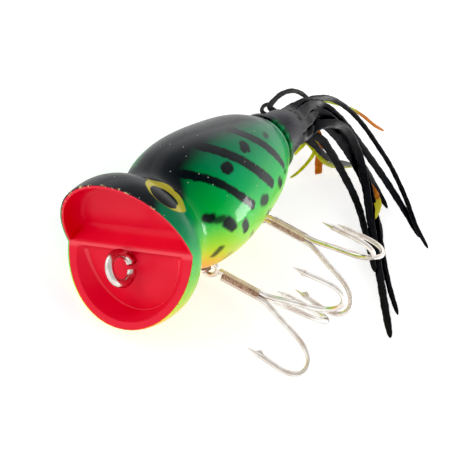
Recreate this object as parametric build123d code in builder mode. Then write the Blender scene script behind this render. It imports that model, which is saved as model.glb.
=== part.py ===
from build123d import *
import os
from math import atan2, cos, degrees, dist, radians, sin

# Topwater popper, 62 mm hollow body, two treble hooks, rubber tail skirt.  Millimetres.
#
# Model frame: the lure lies at rest on a flat surface, on its right cheek and on the
# bends of its hooks.  +X runs along the body axis towards the mouth, +Z is up, square
# to the surface it rests on, and the origin is the centre of the line-tie ring.
#
# Every piece is laid out in the lure's own axes (x to the mouth, y to the lure's left,
# z to its back, zero at the mouth ridge on the body axis).  point() and direction()
# carry these into the model frame, which is the same axes rolled about x.

os.makedirs("parts", exist_ok=True)

# ---------------------------------------------------------------- frame
REST_ROLL = radians(45.0)    # the lure's left side is tipped up by this angle at rest
LINE_TIE = (3.3, 0.0, -2.2)  # centre of the line-tie ring


def direction(x, y, z):
    """Lure direction in the model frame."""
    roll_cos, roll_sin = cos(REST_ROLL), sin(REST_ROLL)
    return Vector(x, y * roll_cos - z * roll_sin, y * roll_sin + z * roll_cos)


def point(x, y, z):
    """Lure point in the model frame."""
    return direction(x - LINE_TIE[0], y - LINE_TIE[1], z - LINE_TIE[2])


def square_to(vector, axis):
    """Unit vector of the part of vector that is square to the unit vector axis."""
    return (vector - axis * vector.dot(axis)).normalized()


def save(part, name):
    part.label = name
    export_step(part, f"parts/{name}.step")


TO_MOUTH = direction(1, 0, 0)
TO_TAIL = direction(-1, 0, 0)
TO_LEFT = direction(0, 1, 0)
TO_RIGHT = direction(0, -1, 0)

# side view: local x runs to the mouth, local y to the back
SIDE = Plane(origin=point(0, 0, 0), x_dir=TO_MOUTH, z_dir=TO_RIGHT)
# the plane on which the two halves meet, facing the lure's left
SEAM = Plane(origin=point(0, 0, 0), x_dir=TO_MOUTH, z_dir=TO_LEFT)
BODY_AXIS = Axis(origin=point(0, 0, 0), direction=TO_MOUTH)

# ---------------------------------------------------------------- body dimensions
# body outline from the lip to the tail shoulder: x, radius
OUTER = [
    (7.2, 11.9), (6.3, 12.45), (3.8, 13.32), (1.6, 13.58), (0.0, 13.52), (-2.2, 12.95),
    (-4.6, 11.55), (-6.8, 10.05), (-8.6, 9.45), (-10.3, 9.75), (-12.0, 10.65),
    (-14.5, 11.75), (-17.5, 12.35), (-21.0, 12.55), (-26.0, 12.20), (-32.0, 11.30),
    (-38.0, 9.95), (-43.0, 7.90), (-45.2, 6.85),
]
WALL = 1.5                   # moulded wall of the hollow body
# inside outline: x, radius; the wall is even between its rounded-in ends
CAVITY = [
    (-5.4, 9.2), (-7.0, 8.35),
    *[(x, radius - WALL) for x, radius in OUTER if -38.0 <= x <= -8.6],
    (-41.8, 6.90),
]

GROOVE_R = 6.25              # groove between the shoulder and the tail ring
RING_FRONT, RING_REAR, RING_R = -46.0, -47.6, 6.75
RING_FRONT_CHAMFER, RING_REAR_CHAMFER = 0.25, 0.35
STUB_R, STUB_END = 2.70, -55.3            # skirt stub
FLANGE_START, FLANGE_R = -54.4, 3.20      # retaining flange at the end of the stub
FLANGE_CHAMFER = 0.3

# mouth: two faces that meet on a ridge and lean forward to the lips
RIDGE_X = 0.3
UPPER_LIP = (3.79, 13.29)    # x, z of the upper lip's front edge
LOWER_LIP = (6.33, -12.34)   # x, z of the lower lip's front edge
UPPER_LEN = dist((RIDGE_X, 0), UPPER_LIP)
LOWER_LEN = dist((RIDGE_X, 0), LOWER_LIP)
CUT_HEIGHT, CUT_FRONT, CUT_HALF_WIDTH = 18, 30, 20   # reach of the cut ahead of the mouth

# scooped upper face, half-ellipse sections: depth below the face, half width,
# top edge short of the lip, flat edge above the ridge
SCOOP = [
    (-0.8, 13.05, 0.55, 0.28),
    (1.2, 12.60, 1.00, 0.50),
    (2.7, 11.95, 1.85, 0.90),
    (3.5, 10.50, 3.50, 1.90),
]

# lower cup: its rim section stands ahead of the lower face, its floor is flat
RIM_DEPTH = -0.8
RIM_HALF_WIDTH = 12.75
RIM_LIP_GAP = 0.85           # rim's lower edge short of the lip
RIM_RIDGE_GAP = 0.28         # rim's flat edge below the ridge
FLOOR_X = -0.5               # floor at the body axis
FLOOR_TILT = 0.14            # the floor comes forward by this per mm towards the lip
FLOOR_HALF_WIDTH, FLOOR_HEIGHT = 9.6, 10.6
FLOOR_RIDGE_GAP = 0.75

# ---------------------------------------------------------------- fitting dimensions
TIE_WIRE = 0.75              # radius of the screw eye's wire
TIE_RING = 2.60              # centreline radius of its ring
TIE_BORE = 1.90              # radius of the clear hole through the ring
TIE_TURN = radians(15.0)     # the ring's plane is turned this much about the shank
TIE_ARC = 325                # degrees of ring from the shank to its open end
TIE_CLEAR = 0.03             # pilot hole and ring joint over the wire radius
SHANK_OVERLAP = 0.05         # the shank starts this far inside the ring
THREAD_DEPTH, THREAD_HALF_PITCH = 0.22, 0.5
SHANK_TAPER_START, SHANK_LEN, SHANK_TIP_R = 13.2, 14.6, 0.05
PILOT_FROM, PILOT_TO = 2.0, -14.2
TIE_BOSS_X, TIE_BOSS_R, TIE_BOSS_LEN = -4.0, 2.7, 11.5

STRAP_W, STRAP_T = 1.05, 0.50    # stamped hanger strap, width and thickness
LEG_CLEAR = 0.02
SLOT_ABOVE, SLOT_BELOW = 0.1, 0.6         # slot beyond the leg's inner and outer ends
BOSS_W, BOSS_HEIGHT, BOSS_HALF_DEPTH = 3.0, 8.0, 2.0
BOSS_ABOVE = 1.4                          # boss above the leg's inner end

# strap centrelines, x and z: front leg, curve over the hump, rear leg
FRONT_HUMP = (-20.50, -14.65)
REAR_HUMP = (-40.85, -12.70)
FRONT_STRAP = [
    (-15.7, -9.6), (-15.7, -12.25), (-17.9, -14.15), FRONT_HUMP,
    (-23.1, -14.2), (-25.3, -12.55), (-25.3, -9.6),
]
REAR_STRAP = [
    (-36.3, -8.0), (-36.3, -10.65), (-38.3, -12.15), REAR_HUMP,
    (-42.9, -11.85), (-44.1, -9.6), (-44.1, -5.2),
]


# ---------------------------------------------------------------- hollow body
def build_cavity():
    """The hollow inside, less the bosses that stand in it."""
    with BuildPart() as cavity:
        with BuildSketch(SIDE):
            with BuildLine():
                Spline(*CAVITY)
                Polyline(CAVITY[-1], (CAVITY[-1][0], 0), (CAVITY[0][0], 0), CAVITY[0])
            make_face()
        revolve(axis=BODY_AXIS)
        # boss that the screw eye's shank bites into
        boss_start = point(TIE_BOSS_X, 0, LINE_TIE[2])
        with BuildSketch(Plane(origin=boss_start, x_dir=TO_LEFT, z_dir=TO_TAIL)):
            Circle(TIE_BOSS_R)
        extrude(amount=TIE_BOSS_LEN, mode=Mode.SUBTRACT)
        # bosses around the hanger legs; the last leg lies behind the cavity
        with BuildSketch(SIDE):
            for x, leg_end in (FRONT_STRAP[0], FRONT_STRAP[-1], REAR_STRAP[0]):
                with Locations((x, leg_end + BOSS_ABOVE - BOSS_HEIGHT / 2)):
                    Rectangle(BOSS_W, BOSS_HEIGHT)
        extrude(amount=BOSS_HALF_DEPTH, both=True, mode=Mode.SUBTRACT)
    return cavity.part


def mouth_x(lip, height):
    """x at a height on the mouth face that runs from the ridge to this lip."""
    return RIDGE_X + (lip[0] - RIDGE_X) / lip[1] * height


def face_plane(lip, depth):
    """Plane of one mouth face, moved depth into the head along its normal."""
    run, rise = lip[0] - RIDGE_X, lip[1]
    normal = direction(abs(rise), 0, -run if rise > 0 else run).normalized()
    return Plane(origin=point(RIDGE_X, 0, 0) - normal * depth, x_dir=TO_LEFT, z_dir=normal)


def build_body(cavity):
    """Whole body with its mouth, inside and holes, before it is cut on the seam."""
    with BuildPart() as body:
        with BuildSketch(SIDE):
            with BuildLine():
                Spline(*OUTER)
                Polyline(
                    OUTER[-1],
                    (OUTER[-1][0], GROOVE_R),
                    (RING_FRONT, GROOVE_R),
                    (RING_FRONT, RING_R - RING_FRONT_CHAMFER),
                    (RING_FRONT - RING_FRONT_CHAMFER, RING_R),
                    (RING_REAR + RING_REAR_CHAMFER, RING_R),
                    (RING_REAR, RING_R - RING_REAR_CHAMFER),
                    (RING_REAR, STUB_R),
                    (FLANGE_START, STUB_R),
                    (FLANGE_START, FLANGE_R),
                    (STUB_END + FLANGE_CHAMFER, FLANGE_R),
                    (STUB_END, FLANGE_R - FLANGE_CHAMFER),
                    (STUB_END, 0),
                    (OUTER[0][0], 0),
                    OUTER[0],
                )
            make_face()
        revolve(axis=BODY_AXIS)

        # cut away everything ahead of the mouth's two faces
        with BuildSketch(SIDE):
            with BuildLine():
                Polyline(
                    (RIDGE_X, 0),
                    (mouth_x(UPPER_LIP, CUT_HEIGHT), CUT_HEIGHT),
                    (CUT_FRONT, CUT_HEIGHT),
                    (CUT_FRONT, -CUT_HEIGHT),
                    (mouth_x(LOWER_LIP, -CUT_HEIGHT), -CUT_HEIGHT),
                    (RIDGE_X, 0),
                )
            make_face()
        extrude(amount=CUT_HALF_WIDTH, both=True, mode=Mode.SUBTRACT)

        # scooped upper face
        for depth, half_width, lip_gap, base in SCOOP:
            height = UPPER_LEN - lip_gap - base
            with BuildSketch(face_plane(UPPER_LIP, depth)):
                with BuildLine():
                    EllipticalCenterArc(
                        (0, base), half_width, height, start_angle=0, arc_size=180
                    )
                    Line((-half_width, base), (half_width, base))
                make_face()
        loft(mode=Mode.SUBTRACT)

        # deep lower cup, from its rim to its flat floor
        floor_plane = Plane(
            origin=point(FLOOR_X, 0, 0), x_dir=TO_LEFT, z_dir=direction(1, 0, FLOOR_TILT)
        )
        rim_height = LOWER_LEN - RIM_LIP_GAP - RIM_RIDGE_GAP
        for plane, half_width, height, base in (
            (face_plane(LOWER_LIP, RIM_DEPTH), RIM_HALF_WIDTH, rim_height, -RIM_RIDGE_GAP),
            (floor_plane, FLOOR_HALF_WIDTH, FLOOR_HEIGHT, -FLOOR_RIDGE_GAP),
        ):
            with BuildSketch(plane):
                with BuildLine():
                    EllipticalCenterArc(
                        (0, base), half_width, height, start_angle=180, arc_size=180
                    )
                    Line((half_width, base), (-half_width, base))
                make_face()
        loft(mode=Mode.SUBTRACT)

        add(cavity, mode=Mode.SUBTRACT)

        # pilot hole for the screw eye
        pilot_start = point(PILOT_FROM, 0, LINE_TIE[2])
        with BuildSketch(Plane(origin=pilot_start, x_dir=TO_LEFT, z_dir=TO_TAIL)):
            Circle(TIE_WIRE + TIE_CLEAR)
        extrude(amount=PILOT_FROM - PILOT_TO, mode=Mode.SUBTRACT)

        # slots for the hanger legs, on the seam
        with BuildSketch(SIDE):
            for strap in (FRONT_STRAP, REAR_STRAP):
                for inner, outer in ((strap[0], strap[1]), (strap[-1], strap[-2])):
                    top = inner[1] + SLOT_ABOVE
                    bottom = outer[1] - SLOT_BELOW
                    with Locations((inner[0], (top + bottom) / 2)):
                        Rectangle(STRAP_T + 2 * LEG_CLEAR, top - bottom)
        extrude(amount=STRAP_W / 2 + LEG_CLEAR, both=True, mode=Mode.SUBTRACT)
    return body.part


def build_shell(body, side):
    with BuildPart() as shell:
        add(body)
        split(bisect_by=SEAM, keep=side)
    return shell.part


whole_body = build_body(build_cavity())
save(build_shell(whole_body, Keep.TOP), "body_left_shell")
save(build_shell(whole_body, Keep.BOTTOM), "body_right_shell")


# ---------------------------------------------------------------- line-tie screw eye
def build_line_tie():
    ring_plane = Plane(
        origin=point(*LINE_TIE),
        x_dir=TO_MOUTH,
        z_dir=direction(0, cos(TIE_TURN), sin(TIE_TURN)),
    )
    joint_x = LINE_TIE[0] - TIE_RING
    with BuildPart() as eye:
        # ring wire: leaves the shank, goes round over the top and stops short of the shank
        with BuildLine(ring_plane):
            bow = CenterArc((0, 0), TIE_RING, 180, TIE_ARC)
        with BuildSketch(Plane(origin=bow @ 0, z_dir=bow % 0)):
            Circle(TIE_WIRE)
        sweep(path=bow)
        # rounded turn where the ring leaves the shank
        with Locations(point(joint_x, 0, LINE_TIE[2])):
            Sphere(TIE_WIRE + TIE_CLEAR)
        # shank with annular ridges that stand for its thread: distance down it, radius
        profile = [(0.0, 0.0), (0.0, TIE_WIRE)]
        for x in range(3, 13):
            profile += [(x, TIE_WIRE), (x + THREAD_HALF_PITCH, TIE_WIRE - THREAD_DEPTH)]
        profile += [
            (SHANK_TAPER_START, TIE_WIRE), (SHANK_LEN, SHANK_TIP_R), (SHANK_LEN, 0.0),
            (0.0, 0.0),
        ]
        shank_start = point(joint_x + SHANK_OVERLAP, 0, LINE_TIE[2])
        with BuildSketch(Plane(origin=shank_start, x_dir=TO_TAIL, z_dir=TO_LEFT)):
            with BuildLine():
                Polyline(*profile)
            make_face()
        revolve(axis=Axis(origin=point(0, 0, LINE_TIE[2]), direction=TO_TAIL))
        # clear the hole through the ring
        with BuildSketch(ring_plane):
            Circle(TIE_BORE)
        extrude(amount=2.0, both=True, mode=Mode.SUBTRACT)
    return eye.part


save(build_line_tie(), "line_tie_eye")


# ---------------------------------------------------------------- hook hangers
def build_hanger(strap):
    with BuildPart() as hanger:
        with BuildSketch(SIDE):
            with BuildLine():
                Line(strap[0], strap[1])
                Spline(*strap[1:6])
                Line(strap[5], strap[6])
            trace(line_width=STRAP_T)
        extrude(amount=STRAP_W / 2, both=True)
    return hanger.part


save(build_hanger(FRONT_STRAP), "front_hook_hanger")
save(build_hanger(REAR_STRAP), "rear_hook_hanger")

# ---------------------------------------------------------------- treble hooks
HOOK_WIRE = 0.52             # radius of the hook wire
HOOK_PACK = 0.64             # the three shanks sit this far from the treble's axis
HOOK_STRAIGHT = 9.2          # end of the straight, brazed part of the shank
DOUBLE_START = -0.25         # where the shanks begin, below the eye
SINGLE_START = 1.1
EYE_RING = 1.60              # centreline radius of the hook's eye
EYE_PLACE = -1.65            # eye's centre along the treble's axis
# outline of one hook: distance along the shank, distance from the treble's axis
HOOK_BEND = [
    (10.40, 0.72), (12.33, 1.25), (15.30, 2.40), (18.28, 3.40), (20.83, 4.56), (22.70, 6.18),
    (23.38, 8.03), (22.61, 9.81), (20.57, 10.70), (17.85, 10.70), (14.40, 10.40),
]
HOOK_TIP = (11.90, 10.13)
BARB = [(15.6, 10.10), (14.3, 9.35), (13.3, 10.15), (14.2, 10.40)]
BARB_HALF_T = 0.2
TIP_R = 0.05                 # radius left at the tip of the point
POINT_LEN = dist(HOOK_BEND[-1], HOOK_TIP)
POINT_TAPER = degrees(atan2(HOOK_WIRE - TIP_R, POINT_LEN))
BRAZE_START, BRAZE_END = 1.3, HOOK_STRAIGHT - 0.2
BRAZE_OVER = 0.33            # braze radius beyond the shank centres
BRAZE_CLEAR = 0.012

# pose at rest: hanger hump, axis start along the shank from the hump, shank direction,
# direction in which bend 0 stands out, bends of the wire with the eye, brazed-on bend
TREBLES = {
    "front": (
        FRONT_HUMP, 1.85, (-0.2060, 0.8076, -0.5526), (0.8388, -0.1451, -0.5247), (1, 2), 0
    ),
    "rear": (
        REAR_HUMP, 2.08, (-0.0400, 0.8862, -0.4616), (0.5370, -0.3705, -0.7578), (0, 2), 1
    ),
}


def treble_axes(hump, offset, shank_dir, bend_dir):
    """Axis start, shank direction and the three bend directions, in the model frame."""
    shank = direction(*shank_dir).normalized()
    first = square_to(direction(*bend_dir), shank)
    side = shank.cross(first)
    start = point(hump[0], 0, hump[1]) + shank * offset
    angles = [radians(120 * k) for k in range(3)]
    return start, shank, [first * cos(angle) + side * sin(angle) for angle in angles]


def build_hook(start, shank, bends, shank_start, with_eye):
    """One wire piece: an optional eye, and a shank, bend, point and barb for each bend."""
    with BuildPart() as hook:
        if with_eye:
            eye_axis = square_to(TO_MOUTH, shank)
            eye_centre = start + shank * EYE_PLACE
            wire_plane = Plane(
                origin=eye_centre + shank * EYE_RING, x_dir=shank, z_dir=eye_axis.cross(shank)
            )
            with BuildSketch(wire_plane):
                Circle(HOOK_WIRE)
            revolve(axis=Axis(origin=eye_centre, direction=eye_axis))
        for bend in bends:
            # local x down the shank, local y out towards the bend
            hook_plane = Plane(origin=start, x_dir=shank, z_dir=shank.cross(bend))
            straight = [(x, HOOK_PACK) for x in (shank_start, 3.0, 6.0, HOOK_STRAIGHT)]
            with BuildLine(hook_plane):
                run = Spline(*straight, *HOOK_BEND)
            with BuildSketch(Plane(origin=run @ 0, z_dir=run % 0)):
                Circle(HOOK_WIRE)
            sweep(path=run)
            # tapered point, carried on from the end of the wire
            wire_end = start + shank * HOOK_BEND[-1][0] + bend * HOOK_BEND[-1][1]
            tip = start + shank * HOOK_TIP[0] + bend * HOOK_TIP[1]
            with BuildSketch(Plane(origin=wire_end, z_dir=(tip - wire_end).normalized())):
                Circle(HOOK_WIRE)
            extrude(amount=POINT_LEN, taper=POINT_TAPER)
            with BuildSketch(hook_plane):
                with BuildLine():
                    Polyline(*BARB, BARB[0])
                make_face()
            extrude(amount=BARB_HALF_T, both=True)
    return hook.part


def build_braze(start, shank, first_bend):
    """Solder that fills the valleys between the three shanks."""
    base = Plane(origin=start + shank * BRAZE_START, x_dir=first_bend, z_dir=shank)
    with BuildPart() as braze:
        with BuildSketch(base):
            Circle(HOOK_PACK + BRAZE_OVER)
            with PolarLocations(HOOK_PACK, 3):
                Circle(HOOK_WIRE + BRAZE_CLEAR, mode=Mode.SUBTRACT)
        extrude(amount=BRAZE_END - BRAZE_START)
    return braze.part


for place, (*pose, eye_bends, brazed_bend) in TREBLES.items():
    start, shank, bends = treble_axes(*pose)
    double = build_hook(start, shank, [bends[k] for k in eye_bends], DOUBLE_START, True)
    save(double, f"{place}_double_hook")
    single = build_hook(start, shank, [bends[brazed_bend]], SINGLE_START, False)
    save(single, f"{place}_single_hook")
    save(build_braze(start, shank, bends[0]), f"{place}_hook_braze")

# ---------------------------------------------------------------- skirt collar
COLLAR_FRONT, COLLAR_REAR, COLLAR_R = -47.9, -56.6, 5.20
BORE_CLEAR = 0.05            # radial gap to the stub and its flange
FLANGE_GAP = 0.1             # gap ahead of the flange and behind it


def build_collar():
    bore = STUB_R + BORE_CLEAR
    pocket = FLANGE_R + BORE_CLEAR
    pocket_front = FLANGE_START + FLANGE_GAP
    pocket_rear = STUB_END - FLANGE_GAP
    with BuildPart() as collar:
        with BuildSketch(SIDE):
            with BuildLine():
                Polyline(
                    (COLLAR_FRONT, bore),
                    (COLLAR_FRONT, COLLAR_R - 0.6),
                    (COLLAR_FRONT - 0.6, COLLAR_R),
                    (COLLAR_FRONT - 3.2, COLLAR_R + 0.05),
                    (COLLAR_REAR + 2.4, COLLAR_R - 0.25),
                    (COLLAR_REAR + 0.9, COLLAR_R - 0.6),
                    (COLLAR_REAR, COLLAR_R - 1.05),
                    (COLLAR_REAR, 3.80),
                    (pocket_rear, 3.55),
                    (pocket_rear, pocket),
                    (pocket_front, pocket),
                    (pocket_front, bore),
                    (COLLAR_FRONT, bore),
                )
            make_face()
        revolve(axis=BODY_AXIS)
    return collar.part


save(build_collar(), "skirt_collar")

# ---------------------------------------------------------------- skirt strands
STRAND_R = 0.38              # soft strand, taken as round

# strand centrelines at rest, x, y, z in lure axes, from the collar's mouth to the tip
STRANDS = {
    "black_arch_strand": [
        (-58.87, 0.95, 3.69), (-64.27, 1.69, 3.52), (-69.40, 3.19, 2.30), (-72.91, 4.00, 0.34),
        (-76.64, 5.47, -3.52), (-79.45, 6.93, -8.13), (-81.27, 8.74, -13.36),
        (-82.34, 10.84, -18.62), (-81.72, 13.31, -23.90), (-80.58, 15.18, -27.62),
        (-78.45, 17.67, -32.38), (-77.45, 20.48, -37.38),
    ],
    "black_long_strand": [
        (-58.69, 2.94, 2.52), (-63.55, 2.75, 2.65), (-68.04, 2.75, 1.18), (-70.38, 4.08, -1.32),
        (-73.21, 5.29, -5.33), (-75.61, 6.34, -9.70), (-77.90, 7.46, -14.17),
        (-79.60, 9.03, -18.82), (-80.61, 11.02, -23.56), (-80.75, 12.78, -27.04),
        (-80.38, 15.31, -31.58), (-78.79, 18.05, -35.41),
    ],
    "black_right_strand": [
        (-58.39, 3.76, 0.62), (-61.93, 3.49, 0.66), (-65.24, 2.72, -0.00), (-67.81, 2.49, -1.18),
        (-70.02, 3.57, -4.06), (-71.88, 4.50, -7.40), (-73.45, 5.37, -10.85),
        (-74.88, 6.45, -14.32), (-76.53, 7.54, -17.83), (-77.51, 8.15, -20.68),
        (-78.33, 9.32, -24.57), (-78.08, 11.06, -28.10),
    ],
    "black_outer_strand": [
        (-58.47, 3.04, -2.52), (-62.30, 2.57, -1.57), (-66.09, 2.29, -1.93), (-68.11, 3.30, -3.81),
        (-70.25, 4.46, -7.11), (-71.98, 5.37, -10.73), (-73.23, 6.46, -14.60),
        (-73.61, 7.74, -18.61), (-72.88, 9.22, -22.51), (-71.94, 10.52, -25.25),
        (-70.11, 12.19, -28.49), (-67.56, 13.84, -30.88),
    ],
    "black_hook_strand": [
        (-59.11, 1.30, -3.64), (-64.38, 3.91, -2.18), (-69.24, 6.10, -4.01), (-71.70, 7.02, -7.43),
        (-72.89, 8.12, -13.29), (-71.04, 9.68, -19.38), (-67.26, 11.71, -24.28),
        (-62.95, 14.08, -28.47), (-58.30, 16.72, -32.03), (-54.64, 18.75, -34.55),
        (-49.71, 21.47, -37.90), (-44.82, 24.28, -41.32),
    ],
    "black_inner_strand": [
        (-58.51, -0.86, -3.77), (-62.22, 1.12, -3.72), (-64.86, 3.23, -5.57),
        (-66.19, 4.03, -8.30), (-67.64, 4.87, -12.01), (-68.43, 6.02, -16.00),
        (-68.50, 7.56, -20.00), (-67.04, 9.48, -23.61), (-64.30, 11.45, -26.29),
        (-62.02, 12.96, -28.00), (-58.98, 14.99, -30.28), (-55.89, 16.97, -32.52),
    ],
    "black_lower_strand": [
        (-59.03, 1.27, 1.91), (-64.87, 2.15, 1.33), (-68.74, 4.28, -1.99), (-70.89, 5.40, -5.70),
        (-73.22, 6.70, -11.15), (-73.62, 8.56, -17.02), (-71.37, 10.62, -22.44),
        (-67.72, 12.98, -26.74), (-63.48, 15.46, -30.34), (-60.18, 17.33, -32.90),
        (-55.93, 20.04, -36.41), (-52.03, 23.11, -40.15),
    ],
    "black_short_strand": [
        (-58.04, -2.43, -2.85), (-60.27, -1.74, -3.44), (-62.13, -0.24, -4.44),
        (-63.28, 0.92, -5.44), (-64.69, 1.72, -7.15), (-66.12, 1.94, -9.05),
        (-67.94, 1.98, -10.87), (-69.93, 2.09, -12.53), (-72.07, 2.25, -14.01),
        (-73.74, 2.41, -15.01), (-76.02, 2.65, -16.26), (-78.29, 2.89, -17.53),
    ],
    "chartreuse_near_strand": [
        (-57.94, 0.60, -1.84), (-60.12, 0.85, -2.00), (-62.32, 1.21, -2.33), (-63.80, 1.46, -2.83),
        (-65.34, 1.62, -4.00), (-66.19, 1.44, -5.86), (-66.47, 0.98, -7.97), (-66.08, 0.21, -9.92),
        (-65.13, -0.93, -11.51), (-64.08, -1.76, -12.41), (-62.42, -2.72, -13.27),
        (-60.60, -3.45, -13.59),
    ],
    "chartreuse_far_strand": [
        (-57.73, -1.25, -1.50), (-59.16, -1.11, -1.65), (-60.75, -0.73, -2.01),
        (-61.94, -0.36, -2.40), (-63.37, 0.11, -3.08), (-64.45, 0.41, -3.90),
        (-64.98, 0.42, -4.83), (-64.83, -0.01, -5.86), (-64.49, -0.95, -6.93),
        (-64.53, -1.78, -7.71), (-64.78, -2.90, -8.74), (-64.91, -3.97, -9.82),
    ],
    "chartreuse_under_strand": [
        (-58.18, -2.69, 0.65), (-60.86, -2.61, -0.26), (-63.07, -2.10, -2.20),
        (-64.50, -1.55, -4.13), (-66.20, -0.75, -7.04), (-67.69, 0.00, -9.94),
        (-69.22, 0.52, -12.47), (-71.39, 0.72, -14.52), (-74.01, 1.01, -16.10),
        (-76.09, 1.23, -17.06), (-78.92, 1.57, -18.16), (-81.77, 2.12, -19.16),
    ],
    "orange_near_strand": [
        (-57.94, 0.20, 0.23), (-60.12, 0.28, -0.03), (-62.31, 0.45, -0.67), (-63.88, 0.58, -1.39),
        (-65.77, 0.73, -2.65), (-67.35, 0.77, -4.23), (-68.49, 0.65, -6.08), (-69.17, 0.34, -8.15),
        (-69.59, -0.11, -10.30), (-69.82, -0.51, -11.90), (-69.60, -0.80, -13.99),
        (-68.70, -0.69, -15.93),
    ],
    "orange_tip_strand": [
        (-58.27, -1.03, 2.69), (-61.74, -1.05, 2.80), (-65.23, -0.93, 2.56), (-67.80, -0.73, 2.14),
        (-71.11, -0.24, 1.23), (-74.22, 0.55, -0.10), (-77.11, 1.57, -1.77), (-79.92, 2.64, -3.59),
        (-82.50, 3.84, -5.69), (-84.09, 4.88, -7.55), (-85.87, 6.32, -10.27),
        (-88.19, 7.62, -12.64),
    ],
    "orange_long_strand": [
        (-58.46, 1.99, 0.42), (-62.75, 1.70, 0.07), (-66.84, 1.19, -0.94), (-69.35, 1.40, -2.26),
        (-71.89, 2.39, -5.04), (-73.64, 3.52, -8.47), (-74.87, 4.58, -12.15),
        (-75.68, 5.75, -15.95), (-75.38, 7.76, -19.52), (-73.97, 9.77, -21.67),
        (-70.58, 12.39, -23.62), (-66.33, 13.52, -25.01),
    ],
    "black_loop_strand": [
        (-58.45, -3.10, 2.60), (-58.63, -4.46, 3.79), (-61.78, -4.83, 4.52), (-65.20, -4.65, 4.73),
        (-68.60, -4.04, 4.11), (-71.14, -3.22, 2.43), (-72.54, -2.60, 0.33), (-73.09, -2.18, -1.78),
    ],
    "black_curl_strand": [
        (-58.80, -3.60, 0.75), (-58.63, -5.63, 2.03), (-58.96, -6.85, 2.75), (-60.43, -7.25, 3.31),
        (-62.27, -7.01, 3.18), (-63.43, -6.45, 2.68),
    ],
}


def build_strand(centreline):
    with BuildPart() as strand:
        with BuildLine() as run:
            Spline(*[point(*place) for place in centreline])
        path = run.wire()
        with BuildSketch(Plane(origin=path @ 0, z_dir=path % 0)):
            Circle(STRAND_R)
        sweep(path=path)
    return strand.part


for name, centreline in STRANDS.items():
    save(build_strand(centreline), name)
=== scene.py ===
"""A painted fishing lure with hollow body shells, two pairs of hooks and a rubber skirt.

Lure axes, in mm: x to the mouth, y to the lure's left, z to its back, zero at the mouth
ridge.  The scene has the same axes rolled 45 degrees about x, in metres, with its origin
at the line-tie ring.
"""
import math
from functools import reduce

import bpy
import numpy as np
from mathutils import Matrix, Vector


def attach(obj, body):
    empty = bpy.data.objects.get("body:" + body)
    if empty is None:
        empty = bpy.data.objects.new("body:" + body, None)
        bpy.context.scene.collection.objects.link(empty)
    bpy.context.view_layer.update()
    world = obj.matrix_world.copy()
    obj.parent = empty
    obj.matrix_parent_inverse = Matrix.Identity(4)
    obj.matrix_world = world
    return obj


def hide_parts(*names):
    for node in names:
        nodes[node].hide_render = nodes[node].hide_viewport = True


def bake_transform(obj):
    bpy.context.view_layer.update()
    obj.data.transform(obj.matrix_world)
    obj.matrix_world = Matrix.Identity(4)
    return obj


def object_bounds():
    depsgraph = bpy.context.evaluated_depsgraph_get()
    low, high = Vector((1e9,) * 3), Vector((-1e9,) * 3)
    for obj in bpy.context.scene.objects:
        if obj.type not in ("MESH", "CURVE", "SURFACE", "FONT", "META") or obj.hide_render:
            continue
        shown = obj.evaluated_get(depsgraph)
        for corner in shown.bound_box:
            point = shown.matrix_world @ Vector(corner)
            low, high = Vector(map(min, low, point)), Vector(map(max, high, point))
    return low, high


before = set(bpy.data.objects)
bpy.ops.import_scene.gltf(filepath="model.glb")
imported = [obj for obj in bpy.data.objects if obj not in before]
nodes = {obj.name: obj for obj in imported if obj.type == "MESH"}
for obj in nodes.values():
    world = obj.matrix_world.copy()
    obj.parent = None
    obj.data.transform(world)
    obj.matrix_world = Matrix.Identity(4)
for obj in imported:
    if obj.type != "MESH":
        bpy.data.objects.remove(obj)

CAD_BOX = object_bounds()
scene = bpy.context.scene

COS_45 = math.sqrt(0.5)
RING_AT = (3.3, 0.0, -2.2)          # line-tie ring, lure mm


def turn(direction):
    """Lure direction in the scene."""
    x, y, z = direction
    return Vector((x, (y - z) * COS_45, (y + z) * COS_45))


def place(point):
    """Lure point, mm, in the scene, metres."""
    return turn([a - b for a, b in zip(point, RING_AT)]) / 1000.0


def srgb(*channels):
    """Linear RGBA of an 8-bit sRGB colour."""
    def linear(c):
        c /= 255.0
        return c / 12.92 if c <= 0.04045 else ((c + 0.055) / 1.055) ** 2.4
    return (*map(linear, channels), 1.0)


def grey(level):
    return (level, level, level, 1.0)


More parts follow.
